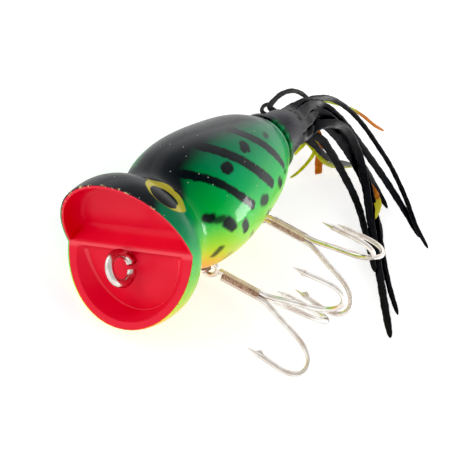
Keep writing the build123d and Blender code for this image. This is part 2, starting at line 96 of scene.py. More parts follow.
# ---------------------------------------------------------------------------------
# Shader trees, written as arithmetic on sockets
# ---------------------------------------------------------------------------------
class Signal:
    """An output socket.  Its operators and methods add nodes that it feeds."""

    def __init__(self, tree, socket):
        self.tree = tree
        self.socket = socket

    def math(self, operation, *others, clamp=False):
        return self.tree.math(operation, self, *others, clamp=clamp)

    def __add__(self, other): return self.math("ADD", other)
    def __radd__(self, other): return self.tree.math("ADD", other, self)
    def __sub__(self, other): return self.math("SUBTRACT", other)
    def __rsub__(self, other): return self.tree.math("SUBTRACT", other, self)
    def __mul__(self, other): return self.math("MULTIPLY", other)
    def __truediv__(self, other): return self.math("DIVIDE", other)
    def min(self, other): return self.math("MINIMUM", other)
    def max(self, other): return self.math("MAXIMUM", other)
    def abs(self): return self.math("ABSOLUTE")

    def vector(self, operation, *others):
        output = "Value" if operation in ("LENGTH", "DOT_PRODUCT") else 0
        return self.tree.node("ShaderNodeVectorMath", (self, *others), output,
                              operation=operation)

    def shifted(self, *offset): return self.vector("ADD", offset)
    def stretched(self, *factors): return self.vector("MULTIPLY", factors)

    def xyz(self):
        split = self.tree.node("ShaderNodeSeparateXYZ", (self,)).socket.node
        return [Signal(self.tree, socket) for socket in split.outputs]

    def step(self, start, end, to=(0.0, 1.0)):
        """Smooth step from to[0] at start to to[1] at end."""
        if start > end:
            start, end, to = end, start, to[::-1]
        return self.tree.node("ShaderNodeMapRange", (self, start, end, *to),
                              interpolation_type="SMOOTHSTEP")

    def line(self, start, end, to=(0.0, 1.0)):
        """Straight line from to[0] at start to to[1] at end, clamped."""
        return self.tree.node("ShaderNodeMapRange", (self, start, end, *to))

    def mix(self, color_0, color_1):
        """This signal as the factor between two colours."""
        return self.tree.mix(self, color_0, color_1)

    def tint(self, amount, color, mode="MIX"):
        """This colour with another laid over it."""
        return self.tree.mix(amount, self, color, mode)

    def ramp(self, stops):
        made = self.tree.node("ShaderNodeValToRGB", (self,))
        elements = made.socket.node.color_ramp.elements
        while len(elements) < len(stops):
            elements.new(0.5)
        for element, (position, color) in zip(elements, stops):
            element.position = position
            element.color = color
        return made

    def noise(self, scale, detail=3.0, rough=0.55, distort=0.0):
        return self.tree.node("ShaderNodeTexNoise", {
            "Vector": self, "Scale": scale, "Detail": detail, "Roughness": rough,
            "Distortion": distort})

    def voronoi(self, scale):
        return self.tree.node("ShaderNodeTexVoronoi", {"Vector": self, "Scale": scale},
                              "Distance")

    def bump(self, strength, distance, normal=None):
        """Normal of this height; distance in metres."""
        inputs = {"Strength": strength, "Distance": distance, "Height": self}
        if normal is not None:
            inputs["Normal"] = normal
        return self.tree.node("ShaderNodeBump", inputs)


class Tree:
    def __init__(self, node_tree):
        self.node_tree = node_tree

    def put(self, socket, value):
        if isinstance(value, Signal):
            self.node_tree.links.new(value.socket, socket)
        else:
            socket.default_value = value

    def node(self, kind, inputs=(), output=0, **settings):
        """Add a node; inputs is a sequence in socket order, or a dict by socket."""
        made = self.node_tree.nodes.new(kind)
        for key, value in settings.items():
            setattr(made, key, value)
        pairs = inputs.items() if isinstance(inputs, dict) else enumerate(inputs)
        for key, value in pairs:
            self.put(made.inputs[key], value)
        return Signal(self, made.outputs[output])

    def math(self, operation, *values, clamp=False):
        return self.node("ShaderNodeMath", values, operation=operation, use_clamp=clamp)

    def mix(self, amount, color_0, color_1, mode="MIX"):
        # sockets 6 and 7, and output 2, are the Mix node's colours
        return self.node("ShaderNodeMix", {0: amount, 6: color_0, 7: color_1}, 2,
                         data_type="RGBA", blend_type=mode)

    def join(self, x, y, z):
        return self.node("ShaderNodeCombineXYZ", (x, y, z))


class Material(Tree):
    def __init__(self, name):
        self.mat = bpy.data.materials.new(name)
        self.mat.use_nodes = True
        super().__init__(self.mat.node_tree)
        self.node_tree.nodes.clear()
        output = self.node_tree.nodes.new("ShaderNodeOutputMaterial")
        self.bsdf = self.node_tree.nodes.new("ShaderNodeBsdfPrincipled")
        self.node_tree.links.new(self.bsdf.outputs[0], output.inputs[0])

    def set(self, **inputs):
        """Set Principled inputs, with _ for the spaces in their names."""
        for key, value in inputs.items():
            self.put(self.bsdf.inputs[key.replace("_", " ")], value)

    def lure(self):
        """Lure coordinates in mm of the shaded point."""
        return self.node("ShaderNodeMapping", {
            "Vector": self.node("ShaderNodeTexCoord", output="Object"),
            "Location": RING_AT, "Rotation": (-math.pi / 4, 0, 0),
            "Scale": (1000, 1000, 1000)}, vector_type="POINT")

    def attribute(self, name):
        return self.node("ShaderNodeAttribute", output="Vector", attribute_name=name)


# ---------------------------------------------------------------------------------
# Painted body.  Angles are degrees round the body from the back, alike on both sides.
# ---------------------------------------------------------------------------------
GIRTH = 12.0 * math.pi / 180.0      # mm round the body for one degree

# runs of black airbrushed bars: (x, degrees, half width)
BARS = [
    [(-11.0, 24, 0.95), (-12.6, 42, 0.80), (-14.8, 58, 0.78), (-17.3, 76, 0.80),
     (-20.5, 92, 0.85)],
    [(-18.4, 24, 1.35), (-20.3, 40, 1.20), (-22.9, 56, 1.15), (-25.9, 74, 1.15),
     (-29.1, 90, 1.05)],
    [(-28.3, 26, 1.30), (-30.3, 42, 1.15), (-32.3, 56, 1.15), (-34.3, 72, 1.05),
     (-36.2, 87, 0.80)],
]
BAR_SOFTNESS = 0.22
# (x, degrees) of one end, of the other, half width at each, softness, darkness
SPOTS = [
    (-18.1, 53, -18.9, 53, 1.10, 1.10, 0.25, 1.0),
    (-25.4, 49, -26.8, 46, 0.75, 1.15, 0.25, 1.0),
    (-26.6, 50.5, -26.9, 49, 0.75, 0.75, 0.25, 1.0),
    (-35.1, 50, -35.7, 49, 0.75, 0.85, 0.45, 0.85),
    (-10.0, 80, -10.9, 83, 0.95, 1.05, 0.4, 1.0),
    (-11.4, 86, -12.9, 89, 0.75, 0.85, 0.5, 0.9),
    (-13.6, 93, -14.6, 100, 1.15, 1.00, 0.35, 1.0),
    (-17.7, 102, -18.3, 109.5, 0.80, 0.95, 0.3, 1.0),
    (-24.2, 96, -25.9, 99, 1.05, 1.05, 0.4, 0.95),
    (-32.9, 96, -33.9, 103.5, 0.95, 0.95, 0.5, 0.95),
    (-36.3, 94, -37.3, 98, 0.55, 0.45, 0.5, 0.7),
    (-39.5, 94, -42.6, 84, 0.45, 0.35, 0.4, 0.75),
    (-27.6, 117, -30.6, 125, 0.60, 0.60, 0.6, 0.75),
    (-12.7, 119, -11.9, 130, 0.60, 0.50, 0.4, 0.85),
    (-21.5, 122, -22.4, 130, 0.55, 0.55, 0.6, 0.6),
    (-16.2, 133, -15.7, 141, 0.5, 0.45, 0.6, 0.55),
    (-35.8, 118, -37.2, 124, 0.5, 0.5, 0.6, 0.6),
]
# how far the black back comes down the flank: (share of BACK_SPAN, degrees)
BACK_SPAN = (-48.0, 8.0)
BACK_EDGE = [
    (0.00, 36), (0.14, 30), (0.30, 29), (0.50, 28), (0.61, 29), (0.655, 33), (0.685, 44),
    (0.715, 52), (0.75, 44), (0.80, 30), (0.85, 38), (0.90, 48), (1.00, 50),
]
# flank colours: (share of the way from back to belly, sRGB)
BODY_COLORS = [
    (0.00, 0, 92, 62), (0.18, 0, 104, 70), (0.27, 0, 130, 84), (0.34, 0, 160, 96),
    (0.42, 0, 180, 92), (0.48, 16, 200, 92), (0.53, 66, 218, 92), (0.58, 112, 232, 86),
    (0.64, 158, 240, 78), (0.77, 222, 230, 80), (0.88, 238, 222, 110), (1.00, 240, 222, 120),
]
THROAT_COLORS = [
    (0.00, 0, 88, 54), (0.20, 0, 106, 58), (0.33, 0, 148, 62), (0.42, 0, 168, 64),
    (0.485, 30, 190, 78), (0.53, 86, 212, 78), (0.58, 140, 226, 66), (0.64, 182, 230, 54),
    (0.70, 220, 222, 44), (0.77, 244, 196, 40), (0.86, 246, 160, 34), (1.00, 244, 140, 32),
]
HEAD_COLORS = [
    (0.00, 0, 84, 56), (0.25, 0, 100, 66), (0.36, 0, 126, 80), (0.42, 0, 148, 88),
    (0.47, 20, 178, 90), (0.51, 72, 206, 102), (0.58, 122, 220, 84), (0.68, 188, 228, 66),
    (0.77, 232, 216, 54), (0.88, 246, 186, 44), (1.00, 246, 168, 40),
]
# ovals: (centre x, centre degrees, half length in mm, half height in degrees)
EYE_OVALS = [(-3.4, 41.5, 4.30, 18.8), (-5.6, 29.0, 2.6, 15.0)]
PUPIL_OVALS = [(-1.10, 42.5, 2.00, 11.6), (-2.35, 44.0, 1.5, 9.0)]

RIM_LOW, RIM_SPAN = 8.0, 7.0        # radii that the rim curve's 0 to 1 stands for
LIP_X = 0.3                         # lip plane at z = 0, and its slopes above and below
LIP_SLOPE_UPPER = 3.49 / 13.29
LIP_SLOPE_LOWER = 6.03 / 12.34


def capsule(point, start, end, start_radius, end_radius):
    """Distance outside a tapered capsule on the unrolled skin; ends are (x, degrees)."""
    first, last = (Vector((x, degrees * GIRTH, 0)) for x, degrees in (start, end))
    along = last - first
    offset = point.vector("SUBTRACT", tuple(first))
    share = offset.vector("DOT_PRODUCT", tuple(along)).math(
        "DIVIDE", along.length_squared, clamp=True)
    nearest = point.tree.node("ShaderNodeVectorMath", {0: tuple(along), "Scale": share},
                              operation="SCALE")
    distance = offset.vector("SUBTRACT", nearest).vector("LENGTH")
    return distance - share.math("MULTIPLY_ADD", end_radius - start_radius, start_radius)


def black_marks(point):
    """Masks of the bars and spots."""
    for bar in BARS:
        pieces = (capsule(point, start, end, start_radius, end_radius)
                  for (*start, start_radius), (*end, end_radius) in zip(bar[:-1], bar[1:]))
        yield reduce(Signal.min, pieces).step(BAR_SOFTNESS, -BAR_SOFTNESS)
    for *ends, start_radius, end_radius, softness, darkness in SPOTS:
        spot = capsule(point, ends[:2], ends[2:], start_radius, end_radius)
        yield spot.step(softness, -softness, to=(0.0, darkness))


def black_back(lure, x, angle):
    """Mask of the back, softer edged behind the head."""
    edge = x.line(*BACK_SPAN).ramp([(at, grey(degrees / 180)) for at, degrees in BACK_EDGE])
    edge = edge * 180.0
    softness = x.step(-6.0, -12.0, to=(5.0, 10.0))
    wobble = (lure.noise(scale=0.35, detail=2) - 0.5) * 7.0
    back = (edge + (softness + wobble) - angle).math("DIVIDE", softness * 2.0, clamp=True)
    return back.step(0.0, 1.0)


def flank(lure, x, angle):
    """Green to yellow skin under the black."""
    share = angle.line(0.0, 180.0)
    body, throat, head = (
        share.ramp([(at, srgb(*color)) for at, *color in colors])
        for colors in (BODY_COLORS, THROAT_COLORS, HEAD_COLORS))
    skin = x.step(-12.0, -19.0).mix(throat, body)
    skin = x.step(-8.2, -4.6).mix(skin, head)

    # cloudy overspray and fine pigment grain
    cloud = lure.noise(scale=0.22, detail=4, rough=0.6).step(0.42, 0.72) * 0.20
    skin = skin.tint(cloud * angle.step(60, 84, to=(0.15, 1.0)),
                     skin.tint(0.5, srgb(150, 225, 60)))
    grain = lure.noise(scale=14.0, detail=2, rough=0.7)
    grain = grain.ramp([(0.3, grey(0.35)), (0.7, grey(1.6))])
    skin = skin.tint(0.07, skin.tint(1.0, grain, "MULTIPLY"))

    # pale mist of droplets behind the cheek
    drops = lure.stretched(1.0, 1.0, 1.0).voronoi(scale=2.6)
    zone = ((x.step(-13.2, -11.4) * x.step(-7.6, -9.4))
            * (angle.step(86, 92) * angle.step(106, 97)))
    skin = skin.tint(drops.step(0.26, 0.12) * (zone * 0.55), srgb(214, 246, 130))

    # dark band, pale line and mottled ring at the tail shoulder
    patches = lure.stretched(0.5, 1.3, 1.3).noise(scale=0.8, detail=3)
    band = x.step(-41.8, -43.4) * patches.step(0.40, 0.60)
    skin = skin.tint(band * 0.75, srgb(4, 84, 48))
    pale = x.step(-43.3, -43.9) * x.step(-44.9, -44.3)
    skin = skin.tint(pale * 0.65, srgb(150, 205, 170))
    mottle = lure.noise(scale=0.5, detail=3).step(0.44, 0.56)
    return skin.tint(x.step(-45.25, -45.5) * 0.8,
                     mottle.mix(srgb(6, 120, 60), srgb(22, 44, 34)))


def ovals(x, girth, table):
    """Distance from the nearer oval's centre, 1 at its edge."""
    return reduce(Signal.min, (
        x.tree.join((x - center_x) / half_x,
                    (girth - center_angle * GIRTH) / (half_angle * GIRTH),
                    0.0).vector("LENGTH")
        for center_x, center_angle, half_x, half_angle in table))


def add_eye(color, lure, x, girth):
    """Yellow field with a black pupil."""
    iris = lure.noise(scale=2.2, detail=3).mix(srgb(192, 176, 52), srgb(208, 194, 74))
    color = color.tint(ovals(x, girth, EYE_OVALS).step(1.03, 0.97), iris)
    return color.tint(ovals(x, girth, PUPIL_OVALS).step(1.05, 0.95), srgb(11, 11, 15))


def add_wear(color, lure):
    """Fine pale scratches and dust nicks in the top coat."""
    scratch = lure.stretched(0.5, 5.0, 5.0).noise(scale=1.2, detail=5, rough=0.75, distort=0.6)
    color = color.tint(scratch.step(0.735, 0.78) * 0.35, srgb(210, 214, 214))
    nick = lure.shifted(3.7, 1.3, 9.1).voronoi(scale=0.55)
    return color.tint(nick.step(0.055, 0.04) * 0.85, srgb(232, 230, 214))


def outer_radius_table():
    """Largest radius of the body against x, mm, from the two shells' own meshes."""
    shells = []
    for name in ("body_left_shell", "body_right_shell"):
        vertices = nodes[name].data.vertices
        flat = np.zeros(len(vertices) * 3, np.float32)
        vertices.foreach_get("co", flat)
        shells.append(flat.reshape(-1, 3))
    points = np.vstack(shells).astype(float) * 1000.0
    y = (points[:, 1] + points[:, 2]) * COS_45 + RING_AT[1]
    z = (points[:, 2] - points[:, 1]) * COS_45 + RING_AT[2]
    x = points[:, 0] + RING_AT[0]
    radius = np.hypot(y, z)
    stations = np.linspace(-6.2, 7.4, 35)
    largest = []
    for station in stations:
        near = np.abs(x - station) < 0.35
        largest.append(float(radius[near].max()) if near.any() else largest[-1])
    return stations, largest


def depth_inside(x, radius):
    """How far the point lies inside the outer skin, mm."""
    stations, largest = outer_radius_table()
    first, last = stations[0], stations[-1]
    rim = x.tree.node("ShaderNodeFloatCurve", {"Value": x.line(first, last)})
    mapping = rim.socket.node.mapping
    points = mapping.curves[0].points
    while len(points) < len(stations):
        points.new(0.5, 0.5)
    for point, at, size in zip(points, stations, largest):
        point.location = ((at - first) / (last - first), (size - RIM_LOW) / RIM_SPAN)
        point.handle_type = "VECTOR"
    mapping.update()
    return rim * RIM_SPAN + RIM_LOW - radius


def mouth_mask(lure, x, depth):
    wobble = (lure.noise(scale=2.6, detail=4, rough=0.7) - 0.5) * 0.22
    # the table of radii is coarser where the head narrows
    skin_gap = x.step(0.4, -1.6, to=(0.20, 0.62))
    return (depth + wobble - skin_gap).step(0.0, 0.10) * x.step(-3.4, -3.1)


def mouth_red(lure, x, z):
    red = lure.noise(scale=0.18, detail=3).mix(srgb(216, 38, 56), srgb(230, 46, 66))
    blotch = lure.noise(scale=1.1, detail=4, rough=0.7)
    red = red.tint(blotch.step(0.62, 0.78) * 0.35, srgb(192, 26, 40))
    # painted highlights: pale pink lines along the ridge and round the floor of the cup, where the
    # glossy coat catches the light
    ridge = (z + 0.1).abs().step(0.75, 0.15) * x.step(-0.4, 0.1)
    above_floor = x + z * 0.14 + 0.5
    floor_edge_highlight = (above_floor - 0.30).abs().step(0.28, 0.10) * z.step(-0.9, -1.6)
    return red.tint(ridge.max(floor_edge_highlight * 0.9) * 0.34, srgb(252, 120, 128))


def add_lip_chips(color, lure, x, z, angle, depth):
    """Cream plastic where the lip's edge has chipped, mostly over the top, and dark flecks.

    Returns the colour and the chips' mask."""
    behind_upper = (LIP_X + z * LIP_SLOPE_UPPER - x).min(9.0)
    behind_lower = LIP_X - z * LIP_SLOPE_LOWER - x
    behind = z.step(-0.05, 0.05).mix(behind_lower, behind_upper).xyz()[0]
    near_edge = behind.step(0.46, 0.14) * depth.step(0.7, 0.25)
    front = x.step(0.4, 1.0)
    chip = lure.noise(scale=0.85, detail=4, rough=0.70).step(0.565, 0.60) * (near_edge * front)
    chip = chip * angle.step(72, 30, to=(0.12, 1.0))
    color = color.tint(chip, srgb(206, 186, 140))
    fleck = lure.shifted(5.0, 2.0, 8.0).noise(scale=1.9, detail=3, rough=0.7)
    fleck = fleck.step(0.60, 0.64) * (near_edge * front)
    return color.tint(fleck * 0.7, srgb(70, 20, 22)), chip


def painted_body():
    tree = Material("sprayed_paint")
    lure = tree.lure()
    x, y, z = lure.xyz()
    radius = (y * y + z * z).math("SQRT")
    angle = y.abs().math("ARCTAN2", z).math("DEGREES")

    # unrolled skin coordinates, wobbled like an airbrush edge; less so for the eye
    wobble_x = lure.noise(scale=0.9, detail=3, rough=0.6) - 0.5
    wobble_girth = lure.shifted(31.0, 7.0, 3.0).noise(scale=0.9, detail=3, rough=0.6) - 0.5
    unrolled, eye_point = (
        (x + wobble_x * amount, angle * GIRTH + wobble_girth * amount)
        for amount in (0.75, 0.30))

    black = reduce(Signal.max, black_marks(tree.join(*unrolled, 0.0)))
    black = black.max(black_back(lure, x, angle))
    ink = lure.noise(scale=1.4, detail=3).mix(srgb(12, 12, 17), srgb(24, 25, 32))
    color = flank(lure, x, angle).tint(black * 0.985, ink)
    color = add_eye(color, lure, *eye_point)
    color = add_wear(color, lure)

    depth = depth_inside(x, radius)
    inside = mouth_mask(lure, x, depth)
    color = color.tint(inside, mouth_red(lure, x, z))
    color, chip = add_lip_chips(color, lure, x, z, angle, depth)

    pits = lure.noise(scale=26.0, detail=3, rough=0.6)
    orange_peel = lure.noise(scale=1.6, detail=2, rough=0.5)
    pitted = pits.bump(strength=0.20, distance=0.00006)
    tree.set(
        Base_Color=color,
        Roughness=lure.noise(scale=3.0, detail=4).line(0.3, 0.7, to=(0.30, 0.44)),
        Normal=(1.0 - chip).bump(strength=0.7, distance=0.00010, normal=pitted),
        Coat_Weight=(1.0 - chip * 0.9) * inside.mix(grey(0.25), grey(0.14)),
        Coat_Roughness=(lure.noise(scale=5.0, detail=3).line(0.3, 0.7, to=(0.035, 0.075))
                        + inside * 0.16),
        Coat_Normal=orange_peel.bump(strength=0.16, distance=0.00012),
        Specular_IOR_Level=0.05)
    return tree.mat


# ---------------------------------------------------------------------------------
# Metals
# ---------------------------------------------------------------------------------
WRAP_PITCH = 0.46
# solder turns on a shank: start point, direction, and the stretch wrapped, lure mm
FRONT_WRAP = ((-20.88, 1.49, -15.67), (-0.2060, 0.8076, -0.5526), 1.2, 9.0)
REAR_WRAP = ((-40.93, 1.84, -13.66), (-0.0400, 0.8862, -0.4616), 1.2, 8.6)


def shank_wrap(lure, start, along, first, last):
    """Fine turns of solder round a shank: height and mask."""
    distance = lure.vector("SUBTRACT", start).vector("DOT_PRODUCT", along)
    wobble = (lure.noise(scale=1.3, detail=3) - 0.5) * 0.9
    wave = ((distance + wobble * 0.35) * (2 * math.pi / WRAP_PITCH)).math("SINE")
    zone = (distance.step(first - 0.4, first + 0.4)
            * (distance + wobble).step(last + 0.5, last - 0.5))
    return wave, zone


def metal(name, bright, dull, stain, rough, pit_strength, wrap=None):
    """Plated metal with stains and pits; rough is the range of roughness."""
    tree = Material(name)
    lure = tree.lure()
    color = lure.noise(scale=0.45, detail=3, rough=0.6).step(0.35, 0.68).mix(bright, dull)
    stained = lure.shifted(9.0, 4.0, 2.0).noise(scale=0.30, detail=3, rough=0.6)
    color = color.tint(stained.step(0.46, 0.66) * 0.40, stain)
    fine = lure.noise(scale=7.0, detail=4, rough=0.7)
    pits = (lure.voronoi(scale=2.2).step(0.13, 0.06)
            * lure.noise(scale=0.6, detail=3).step(0.50, 0.60))
    color = color.tint(pits * 0.5, srgb(104, 84, 70))
    roughness = fine.line(0.3, 0.7, to=rough)
    normal = (fine - pits * 0.8).bump(pit_strength, distance=0.00004)
    if wrap is not None:
        wave, zone = shank_wrap(lure, *wrap)
        normal = (wave * zone).bump(strength=0.55, distance=0.00007, normal=normal)
        color = color.tint(zone * 0.45, srgb(214, 194, 184))
        color = color.tint(zone * wave.step(-0.2, -0.9) * 0.35, srgb(150, 128, 118))
        roughness = roughness + zone * 0.14
    # painted reflection: the base colour darkens towards the wire's outline, standing in for the
    # darker far room mirrored there
    facing = tree.node("ShaderNodeLayerWeight", {"Blend": 0.5}, "Facing")
    color = color.tint(facing.step(0.42, 0.84) * 0.80,
                       color.tint(1.0, (0.28, 0.27, 0.27, 1.0), "MULTIPLY"))
    tree.set(Base_Color=color, Metallic=1.0 - pits * 0.3, Roughness=roughness, Normal=normal)
    return tree.mat


def braze(name, wrap):
    """Lumpy solder with the turns of the wrap showing in it."""
    tree = Material(name)
    lure = tree.lure()
    wave, zone = shank_wrap(lure, *wrap)
    patches = lure.noise(scale=0.9, detail=3)
    mottle = lure.noise(scale=2.2, detail=5, rough=0.7, distort=0.8)
    color = mottle.step(0.34, 0.66).mix(srgb(196, 172, 160), srgb(146, 120, 104))
    color = color.tint(patches.step(0.52, 0.66) * 0.5, srgb(112, 92, 82))
    lumps = lure.noise(scale=3.4, detail=5, rough=0.7) * 0.9 + lure.voronoi(scale=2.4) * 0.5
    normal = lumps.bump(strength=0.5, distance=0.00012)
    normal = (wave * zone).bump(strength=0.6, distance=0.00009, normal=normal)
    tree.set(Base_Color=color, Metallic=0.9,
             Roughness=mottle.line(0.3, 0.7, to=(0.32, 0.5)), Normal=normal)
    return tree.mat


# ---------------------------------------------------------------------------------
# Soft rubber.  Attribute "run" is x along in mm, y across, z seed; "part" has the share
# of the length in x.
# ---------------------------------------------------------------------------------
def rubber(name, dark, light, tip=None, rough=(0.36, 0.52), subsurface=0.0):
    """tip is (colour, share of the length where it starts, and where it is full)."""
    tree = Material(name)
    along, across, seed = tree.attribute("run").xyz()
    lure = tree.lure()
    blot = lure.noise(scale=0.8, detail=4, rough=0.6)
    color = blot.step(0.34, 0.70).mix(dark, light)
    if tip is not None:
        tip_color, tip_start, tip_full = tip
        share = tree.attribute("part").xyz()[0] + (blot - 0.5) * 0.18
        color = color.tint(share.step(tip_start, tip_full), tip_color)
    # dust and talc bloom
    dust = lure.noise(scale=4.5, detail=5, rough=0.75).step(0.60, 0.76) * 0.05
    color = color.tint(dust, srgb(150, 150, 158))
    lines = tree.join(along * 0.10, across * 5.5, seed).noise(scale=2.0, detail=3, rough=0.6)
    fine = lure.noise(scale=13.0, detail=4, rough=0.7)
    height = lines * 0.7 + fine * 0.35
    tree.set(Base_Color=color, Roughness=(fine * 0.5 + lines * 0.5).line(0.3, 0.7, to=rough),
             Specular_IOR_Level=0.26, Normal=height.bump(strength=0.5, distance=0.00010))
    if subsurface:
        tree.set(Subsurface_Weight=subsurface, Subsurface_Radius=(0.0012, 0.0007, 0.0002),
                 Subsurface_Scale=1.0)
    return tree.mat


paint = painted_body()
nickel = metal("nickel_plate", bright=srgb(228, 225, 220), dull=srgb(202, 196, 188),
               stain=srgb(172, 146, 130), rough=(0.14, 0.26), pit_strength=0.30)
front_wire = metal("plated_front_hook_wire", bright=srgb(238, 235, 230),
                   dull=srgb(220, 212, 204), stain=srgb(196, 172, 156),
                   rough=(0.14, 0.26), pit_strength=0.16, wrap=FRONT_WRAP)
rear_wire = metal("plated_rear_hook_wire", bright=srgb(236, 231, 224),
                  dull=srgb(214, 204, 194), stain=srgb(190, 162, 144),
                  rough=(0.14, 0.26), pit_strength=0.16, wrap=REAR_WRAP)
strap = metal("plated_strap", bright=srgb(196, 168, 156), dull=srgb(150, 120, 108),
              stain=srgb(110, 80, 66), rough=(0.22, 0.40), pit_strength=0.5)
front_solder = braze("front_braze_solder", FRONT_WRAP)
rear_solder = braze("rear_braze_solder", REAR_WRAP)
BLACK = rubber("soft_black_rubber", srgb(9, 9, 12), srgb(18, 18, 24), rough=(0.32, 0.48))
COLLAR = rubber("collar_rubber", srgb(22, 22, 29), srgb(38, 38, 48))
CHARTREUSE = rubber("chartreuse_rubber", srgb(170, 178, 16), srgb(204, 206, 34),
                    rough=(0.34, 0.50), subsurface=0.25)
ORANGE = rubber("orange_rubber", srgb(176, 96, 34), srgb(206, 122, 46),
                rough=(0.34, 0.50), subsurface=0.25)
ORANGE_TIP = rubber("chartreuse_to_orange_rubber", srgb(186, 208, 20), srgb(206, 222, 50),
                    tip=(srgb(214, 132, 56), 0.70, 0.80), subsurface=0.25)
ORANGE_LONG = rubber("orange_to_chartreuse_rubber", srgb(176, 96, 34), srgb(206, 128, 46),
                     tip=(srgb(196, 190, 50), 0.84, 0.90), subsurface=0.25)

for piece, material in {
        "body_left_shell": paint, "body_right_shell": paint, "line_tie_eye": nickel,
        "front_double_hook": front_wire, "front_single_hook": front_wire,
        "rear_double_hook": rear_wire, "rear_single_hook": rear_wire,
        "front_hook_hanger": strap, "rear_hook_hanger": strap,
        "front_hook_braze": front_solder, "rear_hook_braze": rear_solder}.items():
    slots = nodes[piece].data.materials
    slots.clear()
    slots.append(material)

# ---------------------------------------------------------------------------------
# Camera, in lure axes
# ---------------------------------------------------------------------------------
AZIMUTH, ELEVATION, ROLL = (math.radians(degrees) for degrees in (36.12, 24.03, -10.86))
VIEW_BACK = Vector((math.cos(ELEVATION) * math.cos(AZIMUTH),
                    math.cos(ELEVATION) * math.sin(AZIMUTH), math.sin(ELEVATION)))
level_right = Vector((-math.sin(AZIMUTH), math.cos(AZIMUTH), 0))
level_up = VIEW_BACK.cross(level_right)
VIEW_RIGHT = math.cos(ROLL) * level_right + math.sin(ROLL) * level_up
VIEW_UP = -math.sin(ROLL) * level_right + math.cos(ROLL) * level_up
CAMERA_AT = Vector((-24.0, 0, 0)) + 3.8 * VIEW_RIGHT - 6.54 * VIEW_UP + 180.0 * VIEW_BACK


def add_camera():
    data = bpy.data.cameras.new("camera")
    data.sensor_width = 36.0
    data.lens = 76.568
    data.clip_start = 0.005
    data.clip_end = 50.0
    camera = bpy.data.objects.new("camera", data)
    scene.collection.objects.link(camera)
    axes = (turn(VIEW_RIGHT), turn(VIEW_UP), turn(VIEW_BACK))
    matrix = Matrix(axes).transposed().to_4x4()
    matrix.translation = place(CAMERA_AT)
    camera.matrix_world = matrix
    scene.camera = camera


add_camera()


# ---------------------------------------------------------------------------------
# Rubber ribbons
# ---------------------------------------------------------------------------------
CURVE_STEP = 0.35       # mm between a ribbon's rings
SIDES = 16              # points round a ribbon
THICK = 0.52            # ribbon thickness, mm


def smooth(start, end, x):
    share = np.clip((x - start) / (end - start), 0, 1)
    return share * share * (3 - 2 * share)


def unit_rows(vectors):
    return vectors / np.linalg.norm(vectors, axis=1)[:, None]


def curve_points(points):
    """Even points along a centripetal Catmull-Rom curve, and their arc lengths."""
    knots = np.array(points, float)
    knots = np.vstack([2 * knots[0] - knots[1], knots, 2 * knots[-1] - knots[-2]])
    times = [0.0]
    for a, b in zip(knots[:-1], knots[1:]):
        times.append(times[-1] + max(np.linalg.norm(b - a), 1e-6) ** 0.5)

    def between(first, last, at, value_0, value_1):
        return (last - at) / (last - first) * value_0 + (at - first) / (last - first) * value_1

    dense = []
    for i in range(1, len(knots) - 2):
        t0, t1, t2, t3 = times[i - 1:i + 3]
        for at in np.linspace(t1, t2, 24, endpoint=False):
            a1 = between(t0, t1, at, knots[i - 1], knots[i])
            a2 = between(t1, t2, at, knots[i], knots[i + 1])
            a3 = between(t2, t3, at, knots[i + 1], knots[i + 2])
            b1 = between(t0, t2, at, a1, a2)
            b2 = between(t1, t3, at, a2, a3)
            dense.append(between(t1, t2, at, b1, b2))
    dense.append(knots[-2])
    dense = np.array(dense)
    run = np.r_[0, np.cumsum(np.linalg.norm(np.diff(dense, axis=0), axis=1))]
    arc = np.linspace(0, run[-1], max(int(run[-1] / CURVE_STEP), 8) + 1)
    return np.stack([np.interp(arc, run, dense[:, k]) for k in range(3)], 1), arc


def mesh_object(name, verts, faces, material, **attributes):
    mesh = bpy.data.meshes.new(name)
    mesh.from_pydata([tuple(v) for v in verts], [], faces)
    mesh.validate(clean_customdata=False)
    for key, values in attributes.items():
        attribute = mesh.attributes.new(key, "FLOAT_VECTOR", "POINT")
        attribute.data.foreach_set("vector", np.array(values, np.float32).ravel())
    mesh.polygons.foreach_set("use_smooth", [True] * len(mesh.polygons))
    mesh.materials.append(material)
    mesh.update()
    made = bpy.data.objects.new(name, mesh)
    scene.collection.objects.link(made)
    return made


def ribbon_normals(line, arc, tangent):
    """The flat side faces outwards at the collar and towards the camera further on."""
    normals = np.zeros((len(line), 3))
    for i, point in enumerate(line):
        outward = np.array([0.0, point[1], point[2]])
        outward /= max(np.linalg.norm(outward), 1e-6)
        view = np.array(CAMERA_AT) - point
        view /= np.linalg.norm(view)
        if outward @ view < 0:
            outward = -outward
        share = smooth(0.5, 6.0, arc[i])
        normal = outward * (1 - share) + view * share
        normal -= (normal @ tangent[i]) * tangent[i]
        normals[i] = normal / max(np.linalg.norm(normal), 1e-6)
    for _ in range(14):
        relaxed = normals.copy()
        relaxed[1:-1] = normals[:-2] + 2 * normals[1:-1] + normals[2:]
        relaxed -= (relaxed * tangent).sum(1)[:, None] * tangent
        normals = unit_rows(relaxed)
    return normals


